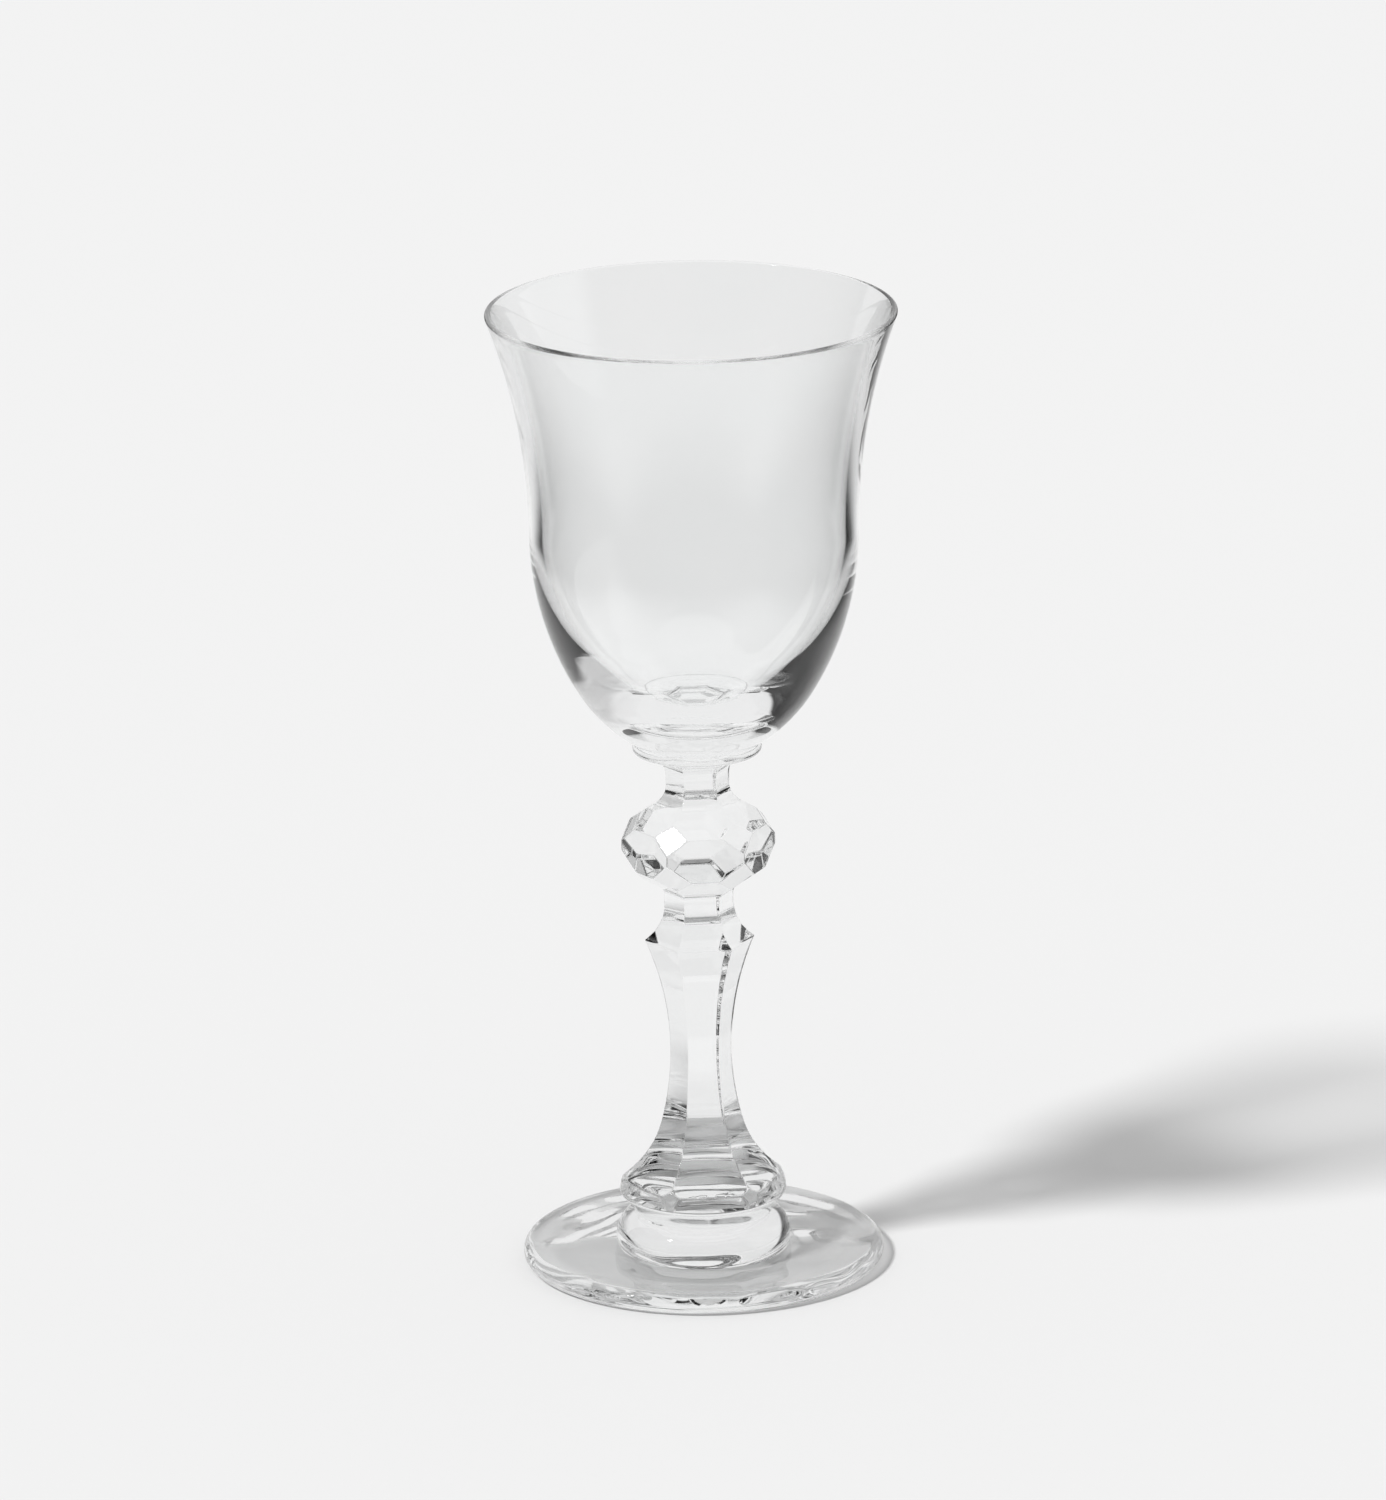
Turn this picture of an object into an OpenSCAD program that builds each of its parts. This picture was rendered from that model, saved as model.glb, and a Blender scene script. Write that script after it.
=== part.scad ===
// Cordial glass: a bell bowl on a cut six-sided stem with a faceted knop and a round foot.
// The glass is built up hot from gathers of clear glass, and each gather is a solid of its own here.
// Frame: +Z up, origin at the centre of the face that stands on the table, one stem facet facing -Y.

/* [Bowl] */
// Diameter over the lip
rim_d = 57.8; // [54:0.1:64]
// Diameter at the waist, where the flare of the lip begins
waist_d = 46.4; // [44:0.1:50]
// Height of the bowl, from its seat on the merese to the lip
bowl_h = 63; // [58:0.5:70]
// Height of the waist above the bowl's seat
waist_rise = 31; // [28:0.5:33]
// Diameter of the bowl's seat on the merese
seat_d = 17; // [15:0.1:17]
// Radius of the long outer curve below the waist
side_curve_r = 44; // [36:0.5:60]
// Turn of the long outer curve, from the waist down to the rounder belly
side_turn = 31; // [20:1:36]
// Thickness of the glass under the cavity
base_t = 5.6; // [5:0.1:8]
// Radius of the cavity's shallow floor
floor_curve_r = 34; // [26:0.5:44]
// Radius of the turn from the cavity's floor into its side
corner_curve_r = 8; // [6:0.1:11]
// Radius of the cavity's side, from that turn up to the waist
inner_curve_r = 31; // [28:0.5:36]
// Wall thickness at the waist
wall_t = 1.8; // [1.2:0.05:2.2]
// Thickness of the fire-polished lip
lip_t = 0.8; // [0.6:0.05:1.2]

/* [Merese] */
// Diameter of the wafer under the bowl
merese_d = 18.4; // [18.4:0.1:21]
// Thickness of the wafer
merese_t = 1.23; // [0.9:0.01:1.4]
// Radius of the cove that runs from the wafer into the neck
merese_cove_r = 3.4; // [2:0.1:4]

/* [Facets] */
// Number of facets cut round the stem
facets = 6; // [5:1:8]

/* [Knop] */
// Width of the upper neck across its flats
upper_neck_w = 7.9; // [7:0.1:8.6]
// Width of the lower neck across its flats
lower_neck_w = 8.7; // [7.8:0.1:9.4]
// Width of the knop across the flats of its belt
knop_w = 19.06; // [17:0.02:20.5]
// Height of the six-sided belt facets, measured at their middles
belt_h = 6.34; // [5:0.02:7.5]
// Height of the upright edge between two belt facets
belt_edge_h = 1.45; // [0.8:0.05:2.4]
// Height of that edge's middle above the middle of the belt
belt_edge_lift = 0.13; // [0:0.01:0.4]
// Lean of the diamond facets between the belt facets, from upright
diamond_lean = 34.4; // [30:0.1:38]
// Lean of the long facets above the belt, from upright
crown_lean = 55.4; // [50:0.1:60]
// Lean of the long facets below the belt, from upright
pavilion_lean = 54.6; // [50:0.1:60]
// Radius of the cove between the upper neck and the knop
crown_cove_r = 3; // [1.5:0.1:4]
// Radius of the cove between the knop and the lower neck
pavilion_cove_r = 0.8; // [0.4:0.1:1.4]
// Height from the lower neck's start up to the belt
knop_low_h = 6; // [5.6:0.1:8]
// Height from the belt up to the upper neck's end
knop_high_h = 7.03; // [6.4:0.01:9]
// Length of neck that the baluster and the merese each bring to their joint with the knop
joint_neck_h = 0.8; // [0.4:0.1:0.9]

/* [Baluster] */
// Width of the shoulder across its flats
shoulder_w = 13.66; // [12:0.02:15]
// Width of the slimmest part across its flats
shaft_w = 7.7; // [6.5:0.1:8.4]
// Height of the cove between the shoulder and the lower neck
shoulder_cove_h = 5; // [3.5:0.1:6.5]
// Height from the slimmest part up to the shoulder
shaft_upper_h = 16.5; // [13:0.5:20]
// Height from the slimmest part down to where the skirt begins
shaft_lower_h = 11; // [8:0.5:12]
// Height of the flared skirt, from its start down to the scallops' lowest points
skirt_h = 8.7; // [7.5:0.1:11]
// Diameter of the round flange under the skirt, at its widest
flange_d = 23.8; // [22:0.1:25]
// Height of the flange, from its underside to the scallops' lowest points
flange_h = 2; // [1.8:0.05:3]
// Radius of the flange's rounded lower edge
flange_edge_r = 0.8; // [0.4:0.05:1.2]
// Radius of the flange's rounded side, from its widest ring up to the scallops
flange_side_r = 4.6; // [4.2:0.1:6]

/* [Basal knop] */
// Diameter of the basal knop at its widest
basal_knop_d = 24.9; // [24.6:0.1:27]
// Radius of its rounded side
basal_knop_curve_r = 4.2; // [3.8:0.05:4.6]
// Height of its widest ring above the foot
basal_knop_belly_h = 1.4; // [1:0.1:2]
// Diameter of its short neck under the flange
basal_neck_d = 19.8; // [18.4:0.1:20.4]
// Height of the basal knop with its neck
basal_knop_h = 7.5; // [6.6:0.05:9]

/* [Foot] */
// Diameter of the foot
foot_d = 51.6; // [46:0.1:60]
// Thickness of the foot at its rounded edge
foot_t = 3.1; // [2.6:0.1:4]
// Fall of the foot's top from its edge to the basal knop
foot_dish = 0.8; // [0:0.05:1]
// Diameter of the hollow under the foot
hollow_d = 40; // [34:0.5:41]
// Depth of the hollow under the foot
hollow_depth = 0.7; // [0.3:0.05:0.9]

/* [Hidden] */
$fn = 96;
// Steps along each arc of the bowl's outline
arc_steps = 10;
// Longest straight step by which a preview shows a wheel cut
arc_step = 1.2;
// Overrun of every cut past the glass that it removes
cut_over = 2;
glass_tint = [0.86, 0.93, 0.95, 0.45];

// Radius of an arc that leaves a line at a tangent and moves rise aside over run
function arc_radius(run, rise) = (run * run + rise * rise) / (2 * rise);

// Radius of an arc that spans a chord and starts square to a unit vector
function chord_radius(chord, way) = (chord * chord) / (2 * (chord * way));

// Point at one distance from a first point and another distance from a second, away from the axis
function tangent_middle(first, from_first, second, from_second) =
    let (
        gap = norm(second - first),
        along = (from_first * from_first - from_second * from_second + gap * gap) / (2 * gap),
        aside = sqrt(from_first * from_first - along * along),
        way = (second - first) / gap
    ) first + along * way + aside * [way[1], -way[0]];

// Corner radius of the cut stem for one width across its flats
function corner_r(width) = width / 2 / cos(180 / facets);

// Foot and basal knop
foot_edge_r = foot_t / 2;
basal_knop_z = foot_t - foot_dish;
basal_core_r = basal_knop_d / 2 - basal_knop_curve_r;
basal_foot_r = basal_core_r + sqrt(pow(basal_knop_curve_r, 2) - pow(basal_knop_belly_h, 2));
basal_top_run = sqrt(pow(basal_knop_curve_r, 2) - pow(basal_neck_d / 2 - basal_core_r, 2));

// Baluster
baluster_z = basal_knop_z + basal_knop_h;
scallop_z = baluster_z + flange_h;
skirt_z = scallop_z + skirt_h;
shaft_z = skirt_z + shaft_lower_h;
shoulder_z = shaft_z + shaft_upper_h;
shoulder_cove_z = shoulder_z + shoulder_cove_h;
shaft_wheel_r = arc_radius(shaft_upper_h, (shoulder_w - shaft_w) / 2);
shoulder_wheel_r = arc_radius(shoulder_cove_h, (shoulder_w - lower_neck_w) / 2);
shaft_wheel_x = shaft_w / 2 + shaft_wheel_r;
skirt_x = shaft_wheel_x - sqrt(pow(shaft_wheel_r, 2) - pow(shaft_lower_h, 2));
flange_side_mid = [flange_d / 2 - flange_side_r, baluster_z + flange_edge_r];
scallop_x = flange_side_mid[0] + sqrt(pow(flange_side_r, 2) - pow(scallop_z - flange_side_mid[1], 2));
// Unit vector from the start of the skirt to the middles of both wheels that meet there
skirt_way = [shaft_wheel_x - skirt_x, shaft_lower_h] / shaft_wheel_r;
skirt_wheel_r = chord_radius([scallop_x - skirt_x, -skirt_h], skirt_way);

// Knop
knop_z = shoulder_cove_z + joint_neck_h;
belt_low_z = shoulder_cove_z + knop_low_h;
belt_top_z = belt_low_z + belt_h;
belt_edge_z = belt_low_z + belt_h / 2 + belt_edge_lift;
pavilion_rise = (knop_w - lower_neck_w) / 2 / tan(pavilion_lean);
crown_rise = (knop_w - upper_neck_w) / 2 / tan(crown_lean);
pavilion_cove_run = pavilion_cove_r * tan(pavilion_lean / 2);
crown_cove_run = crown_cove_r * tan(crown_lean / 2);
knop_foot_z = belt_low_z - pavilion_rise - pavilion_cove_run;
knop_head_z = belt_top_z + crown_rise + crown_cove_run;

// Merese and bowl
merese_cove_z = belt_top_z + knop_high_h;
merese_z = merese_cove_z - joint_neck_h;
wafer_z = merese_cove_z + merese_cove_r;
bowl_z = wafer_z + merese_t;

// Bowl, outer wall, by height above its seat: long curve below the waist, then the rounder belly
waist_r = waist_d / 2;
side_way = [cos(side_turn), -sin(side_turn)];
side_mid = [waist_r - side_curve_r, waist_rise];
belly_top = side_mid + side_curve_r * side_way;
belly_curve_r = chord_radius(belly_top - [seat_d / 2, 0], side_way);
belly_mid = belly_top - belly_curve_r * side_way;

// Bowl, inner wall: shallow cavity floor about the axis, the turn, then the side up to the waist
inner_r = waist_r - wall_t;
inner_mid = [inner_r - inner_curve_r, waist_rise];
floor_mid = [0, base_t + floor_curve_r];
corner_mid = tangent_middle(inner_mid, inner_curve_r - corner_curve_r,
    floor_mid, floor_curve_r - corner_curve_r);

// Bowl, flare and lip: both flares run at a tangent into the round of the lip
lip_r = lip_t / 2;
lip_mid = [rim_d / 2 - lip_r, bowl_h - lip_r];
flare_h = lip_mid[1] - waist_rise;
outer_run = lip_mid[0] - waist_r;
inner_run = lip_mid[0] - inner_r;
outer_flare_r = (pow(outer_run, 2) + pow(flare_h, 2) - pow(lip_r, 2)) / (2 * (outer_run + lip_r));
inner_flare_r = (pow(inner_run, 2) + pow(flare_h, 2) - pow(lip_r, 2)) / (2 * (inner_run - lip_r));
outer_flare_mid = [waist_r + outer_flare_r, waist_rise];
inner_flare_mid = [inner_r + inner_flare_r, waist_rise];

// Points along an arc about a point, from one turn to another, without the first
function arc(middle, r, from, to) = [
    for (i = [1 : arc_steps])
        let (turn = from + (to - from) * i / arc_steps)
            middle + r * [cos(turn), sin(turn)]
];

// Disc about a point, with steps short enough for a long curve
module disc(middle, r) {
    translate(middle) circle(r = r, $fn = 4 * ceil(r * PI / 2 / arc_step));
}

// Rectangle between two corners
module box(low, high) {
    translate(low) square(high - low);
}

// Places one cutter's outline, drawn as distance from the axis by height, square to every facet
module round_the_stem(turn = 0, width = flange_d) {
    for (k = [0 : facets - 1])
        rotate([0, 0, k * 360 / facets + turn - 90])
            rotate([90, 0, 0])
                linear_extrude(height = width + cut_over, center = true)
                    children();
}

// Glass that a cove of radius r leaves in the corner between an upright neck and a facet
// that leans away from it; side is 1 for a neck above the facet and -1 for one below it
module cove_fill(corner, lean, r, side) {
    run = r * tan(lean / 2);
    middle = corner + [r, side * run];
    difference() {
        polygon([
            corner,
            corner + [0, side * run],
            middle,
            corner + run * [sin(lean), -side * cos(lean)],
        ]);
        disc(middle, r);
    }
}

module foot() {
    flat_r = foot_d / 2 - foot_edge_r;
    dome_r = arc_radius(hollow_d / 2, hollow_depth);
    color(glass_tint)
        rotate_extrude()
            difference() {
                union() {
                    polygon([
                        [0, 0],
                        [flat_r, 0],
                        [flat_r, foot_t],
                        [basal_foot_r, basal_knop_z],
                        [0, basal_knop_z],
                    ]);
                    intersection() {
                        disc([flat_r, foot_edge_r], foot_edge_r);
                        box([flat_r, 0], [foot_d / 2, foot_t]);
                    }
                }
                intersection() {
                    disc([0, hollow_depth - dome_r], dome_r);
                    box([0, 0], [hollow_d / 2, hollow_depth]);
                }
            }
}

module basal_knop() {
    belly_z = basal_knop_z + basal_knop_belly_h;
    shoulder_top_z = belly_z + basal_top_run;
    color(glass_tint)
        rotate_extrude()
            union() {
                intersection() {
                    disc([basal_core_r, belly_z], basal_knop_curve_r);
                    box([basal_core_r, basal_knop_z], [basal_knop_d / 2, shoulder_top_z]);
                }
                box([0, basal_knop_z], [basal_core_r, shoulder_top_z]);
                box([0, shoulder_top_z], [basal_neck_d / 2, baluster_z]);
            }
}

// Outline of the wheel cuts that shape one side of the baluster
module baluster_cut() {
    far_x = flange_d / 2 + cut_over;
    shoulder_wheel_x = lower_neck_w / 2 + shoulder_wheel_r;
    // skirt
    intersection() {
        disc([skirt_x, skirt_z] + skirt_wheel_r * skirt_way, skirt_wheel_r);
        box([0, scallop_z - cut_over / 2], [far_x, skirt_z]);
    }
    // shaft
    intersection() {
        disc([shaft_wheel_x, shaft_z], shaft_wheel_r);
        box([0, skirt_z], [far_x, shoulder_z]);
    }
    // cove above the shoulder
    intersection() {
        disc([shoulder_wheel_x, shoulder_cove_z], shoulder_wheel_r);
        box([0, shoulder_z], [shoulder_wheel_x, shoulder_cove_z]);
    }
    box([shoulder_wheel_x, shoulder_z], [far_x, shoulder_cove_z]);
    // lower neck
    box([lower_neck_w / 2, shoulder_cove_z], [far_x, knop_z + cut_over]);
}

module baluster() {
    edge_x = flange_d / 2 - flange_edge_r;
    edge_z = baluster_z + flange_edge_r;
    shank_r = flange_d / 2 - flange_side_r / 2;
    side_top_z = edge_z + sqrt(3) / 2 * flange_side_r;
    color(glass_tint)
        difference() {
            rotate_extrude()
                union() {
                    box([0, baluster_z], [edge_x, edge_z]);
                    intersection() {
                        disc([edge_x, edge_z], flange_edge_r);
                        box([edge_x, baluster_z], [flange_d / 2, edge_z]);
                    }
                    intersection() {
                        disc(flange_side_mid, flange_side_r);
                        box([shank_r, edge_z], [flange_d / 2, side_top_z]);
                    }
                    box([0, edge_z], [shank_r, knop_z]);
                }
            round_the_stem() baluster_cut();
        }
}

// Outline of the cuts on one face of the knop: neck, pavilion, belt, crown and neck
module knop_face_cut() {
    far_x = corner_r(knop_w) + cut_over;
    crown_corner = [upper_neck_w / 2, belt_top_z + crown_rise];
    pavilion_corner = [lower_neck_w / 2, belt_low_z - pavilion_rise];
    difference() {
        polygon([
            [far_x, knop_z - cut_over],
            [far_x, merese_z + cut_over],
            [upper_neck_w / 2, merese_z + cut_over],
            crown_corner,
            [knop_w / 2, belt_top_z],
            [knop_w / 2, belt_low_z],
            pavilion_corner,
            [lower_neck_w / 2, knop_z - cut_over],
        ]);
        cove_fill(crown_corner, crown_lean, crown_cove_r, 1);
        cove_fill(pavilion_corner, pavilion_lean, pavilion_cove_r, -1);
    }
}

// Outline of the two diamond cuts on one corner of the knop, above and below the upright edge
module knop_corner_cut() {
    corner_x = corner_r(knop_w);
    far_x = corner_x + cut_over;
    for (side = [-1, 1]) {
        edge_z = belt_edge_z + side * belt_edge_h / 2;
        end_z = side > 0 ? knop_head_z : knop_foot_z;
        polygon([
            [corner_x, edge_z],
            [far_x, edge_z],
            [far_x, end_z],
            [corner_x - abs(end_z - edge_z) * tan(diamond_lean), end_z],
        ]);
    }
}

module knop() {
    blank_r = corner_r(knop_w) + cut_over / 2;
    color(glass_tint)
        difference() {
            translate([0, 0, knop_z]) cylinder(r = blank_r, h = merese_z - knop_z);
            round_the_stem(width = 2 * blank_r) knop_face_cut();
            round_the_stem(turn = 180 / facets, width = 2 * blank_r) knop_corner_cut();
        }
}

// Outline of the neck and cove under one side of the wafer
module merese_cut() {
    far_x = merese_d / 2 + cut_over;
    cove_x = upper_neck_w / 2 + merese_cove_r;
    box([upper_neck_w / 2, merese_z - cut_over], [far_x, merese_cove_z]);
    intersection() {
        disc([cove_x, merese_cove_z], merese_cove_r);
        box([0, merese_cove_z], [cove_x, wafer_z]);
    }
    box([cove_x, merese_cove_z], [far_x, wafer_z]);
}

module merese() {
    edge_r = merese_t / 2;
    edge_x = merese_d / 2 - edge_r;
    color(glass_tint)
        difference() {
            rotate_extrude()
                union() {
                    box([0, merese_z], [edge_x, bowl_z]);
                    intersection() {
                        disc([edge_x, wafer_z + edge_r], edge_r);
                        box([edge_x, wafer_z], [merese_d / 2, bowl_z]);
                    }
                }
            round_the_stem() merese_cut();
        }
}

// Outline of the bowl: seat, belly, side, outer flare, lip, inner flare, inner side, turn, floor,
// which is level for its last two degrees about the axis
module bowl_outline() {
    seat_turn = asin(-belly_mid[1] / belly_curve_r);
    corner_turn = atan2(corner_mid[1] - inner_mid[1], corner_mid[0] - inner_mid[0]);
    floor_turn = atan2(corner_mid[1] - floor_mid[1], corner_mid[0] - floor_mid[0]);
    level_turn = -88;
    outer_turn = asin(flare_h / (outer_flare_r + lip_r));
    inner_turn = asin(flare_h / (inner_flare_r - lip_r));
    polygon(concat(
        [[0, 0], [belly_mid[0] + belly_curve_r * cos(seat_turn), 0]],
        arc(belly_mid, belly_curve_r, seat_turn, -side_turn),
        arc(side_mid, side_curve_r, -side_turn, 0),
        arc(outer_flare_mid, outer_flare_r, 180, 180 - outer_turn),
        arc(lip_mid, lip_r, -outer_turn, 180 - inner_turn),
        arc(inner_flare_mid, inner_flare_r, 180 - inner_turn, 180),
        arc(inner_mid, inner_curve_r, 0, corner_turn),
        arc(corner_mid, corner_curve_r, corner_turn, floor_turn),
        arc(floor_mid, floor_curve_r, floor_turn, level_turn),
        [[0, floor_mid[1] + floor_curve_r * sin(level_turn)]]
    ));
}

module bowl() {
    color(glass_tint)
        translate([0, 0, bowl_z])
            rotate_extrude()
                bowl_outline();
}

foot();
basal_knop();
baluster();
knop();
merese();
bowl();
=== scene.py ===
"""Cordial glass of clear crystal, put together from its foot upwards, on a pale table."""

import math

import bmesh
import bpy
import numpy as np
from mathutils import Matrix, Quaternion, Vector


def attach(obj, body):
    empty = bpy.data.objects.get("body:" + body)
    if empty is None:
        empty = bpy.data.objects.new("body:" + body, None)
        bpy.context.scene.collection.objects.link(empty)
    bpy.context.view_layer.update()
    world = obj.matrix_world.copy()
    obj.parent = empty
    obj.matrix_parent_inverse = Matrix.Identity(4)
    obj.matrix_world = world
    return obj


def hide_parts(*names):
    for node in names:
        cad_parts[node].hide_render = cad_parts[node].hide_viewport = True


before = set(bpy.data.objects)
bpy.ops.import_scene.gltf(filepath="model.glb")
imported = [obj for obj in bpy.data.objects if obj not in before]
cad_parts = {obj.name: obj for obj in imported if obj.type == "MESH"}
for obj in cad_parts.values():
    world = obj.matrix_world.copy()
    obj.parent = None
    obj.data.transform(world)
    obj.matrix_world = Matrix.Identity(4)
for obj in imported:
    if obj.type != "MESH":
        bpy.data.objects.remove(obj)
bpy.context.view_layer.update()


# Foot
# The foot is a plain round disc of clear crystal, spun out from a small gather while hot,
# with a fire-polished edge. It stands on a ring and is slightly hollow inside that ring.

# Lengths are in mm up to the table, and this turns them into metres
MM = 0.001
ROUND_COLUMNS = 288
MERGE_MM = 0.0002
SHARP_EDGE = math.radians(32)

CRYSTAL_IOR = 1.54
WAVE_DETAIL = 1.0
RING_DETAIL = 1.5
RING_STRETCH = (0.07, 0.07, 1.0)
SCOUR_SIZE = 260.0
SCOUR_DETAIL = 4.0
SCOUR_FROM = 0.52
SCOUR_FULL = 0.8

FOOT_R = 25.8
FOOT_T = 3.1
FOOT_DISH = 0.8
FOOT_HOLLOW_R = 20.0
FOOT_HOLLOW_DEPTH = 0.7
FOOT_HOLLOW_ROUND = 0.4
FOOT_EDGE_R = FOOT_T / 2
FOOT_EDGE_TURN = 84.0
FOOT_TOP_Z = FOOT_T - FOOT_DISH

# The basal knop stands on the foot by a round face, as wide as its rounded side is there
BASAL_R = 12.45
BASAL_CURVE_R = 4.2
BASAL_BELLY_H = 1.4
BASAL_CORE_R = BASAL_R - BASAL_CURVE_R
FOOT_JOINT_R = BASAL_CORE_R + math.sqrt(BASAL_CURVE_R**2 - BASAL_BELLY_H**2)


def arc(middle, reach, start, end, steps):
    """Points (distance from the axis, height) in mm along a circular arc: the middle plus reach
    times the cosine and sine of turns that run evenly from start to end, in degrees."""
    turns = np.radians(np.linspace(start, end, steps + 1))
    return np.column_stack([middle[0] + reach * np.cos(turns), middle[1] + reach * np.sin(turns)])


def arc_radius(run, rise):
    """Radius of an arc that leaves a line at a tangent and moves rise aside over run: the sum of
    their squares over twice the rise."""
    return (run**2 + rise**2) / (2 * rise)


def line(start, end, steps):
    """Points (distance from the axis, height) in mm, evenly spaced on a straight line: the start
    times what is left of an even share, plus the end times that share."""
    share = np.linspace(0, 1, steps + 1)[:, None]
    return np.array(start) * (1 - share) + np.array(end) * share


def outline(*stretches):
    """One outline from stretches of points, and for each step between two points whether it
    lies on a joint. Each stretch is its points, after True where it is a joint face."""
    points, on_joint = [], []
    for joint, stretch in stretches:
        if points:
            on_joint.append(False)
        on_joint += [joint] * (len(stretch) - 1)
        points.append(stretch)
    return np.concatenate(points), np.array(on_joint)


def polish_group():
    """Node group for the skin of hand-worked crystal: slow waves left by the tools, faint
    level rings left by turning, fine scour, and the roughness and tint that go with them. The
    bump's height is each noise times its own height, added up, and the roughness is the scour
    above its threshold times the wear."""
    group = bpy.data.node_groups.new("crystal_skin", "ShaderNodeTree")
    for name, kind, value in (
        ("Vector", "NodeSocketVector", None),
        ("Wave Size", "NodeSocketFloat", 160.0),
        ("Wave Height", "NodeSocketFloat", 0.02),
        ("Ring Size", "NodeSocketFloat", 420.0),
        ("Ring Height", "NodeSocketFloat", 0.004),
        ("Wear", "NodeSocketFloat", 0.02),
        ("Tint", "NodeSocketColor", (0.98, 0.99, 0.99, 1)),
    ):
        socket = group.interface.new_socket(name, in_out="INPUT", socket_type=kind)
        if value is not None:
            socket.default_value = value
    group.interface.new_socket("Color", in_out="OUTPUT", socket_type="NodeSocketColor")
    group.interface.new_socket("Roughness", in_out="OUTPUT", socket_type="NodeSocketFloat")
    group.interface.new_socket("Normal", in_out="OUTPUT", socket_type="NodeSocketVector")
    nodes, links = group.nodes, group.links
    given, out = nodes.new("NodeGroupInput"), nodes.new("NodeGroupOutput")

    waves = nodes.new("ShaderNodeTexNoise")
    waves.inputs["Detail"].default_value = WAVE_DETAIL
    links.new(given.outputs["Vector"], waves.inputs["Vector"])
    links.new(given.outputs["Wave Size"], waves.inputs["Scale"])

    stretch = nodes.new("ShaderNodeVectorMath")
    stretch.operation = "MULTIPLY"
    stretch.inputs[1].default_value = RING_STRETCH
    links.new(given.outputs["Vector"], stretch.inputs[0])
    rings = nodes.new("ShaderNodeTexNoise")
    rings.inputs["Detail"].default_value = RING_DETAIL
    links.new(stretch.outputs[0], rings.inputs["Vector"])
    links.new(given.outputs["Ring Size"], rings.inputs["Scale"])

    def scaled(value, size):
        """One link times another."""
        node = nodes.new("ShaderNodeMath")
        node.operation = "MULTIPLY"
        links.new(value, node.inputs[0])
        links.new(size, node.inputs[1])
        return node.outputs[0]

    height = nodes.new("ShaderNodeMath")
    height.operation = "ADD"
    links.new(scaled(waves.outputs["Fac"], given.outputs["Wave Height"]), height.inputs[0])
    links.new(scaled(rings.outputs["Fac"], given.outputs["Ring Height"]), height.inputs[1])
    bump = nodes.new("ShaderNodeBump")
    bump.inputs["Distance"].default_value = MM
    links.new(height.outputs[0], bump.inputs["Height"])
    links.new(bump.outputs["Normal"], out.inputs["Normal"])

    scour = nodes.new("ShaderNodeTexNoise")
    scour.inputs["Scale"].default_value = SCOUR_SIZE
    scour.inputs["Detail"].default_value = SCOUR_DETAIL
    links.new(given.outputs["Vector"], scour.inputs["Vector"])
    spread = nodes.new("ShaderNodeMapRange")
    spread.inputs["From Min"].default_value = SCOUR_FROM
    spread.inputs["From Max"].default_value = SCOUR_FULL
    links.new(scour.outputs["Fac"], spread.inputs["Value"])
    links.new(scaled(spread.outputs[0], given.outputs["Wear"]), out.inputs["Roughness"])

    # Sockets 6 and 7 of a Mix node take its two colours, and output 2 gives the mixed one
    shade = nodes.new("ShaderNodeMix")
    shade.data_type = "RGBA"
    shade.inputs[7].default_value = (1, 1, 1, 1)
    links.new(waves.outputs["Fac"], shade.inputs[0])
    links.new(given.outputs["Tint"], shade.inputs[6])
    links.new(shade.outputs[2], out.inputs["Color"])
    return group


crystal_skin = polish_group()


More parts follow.
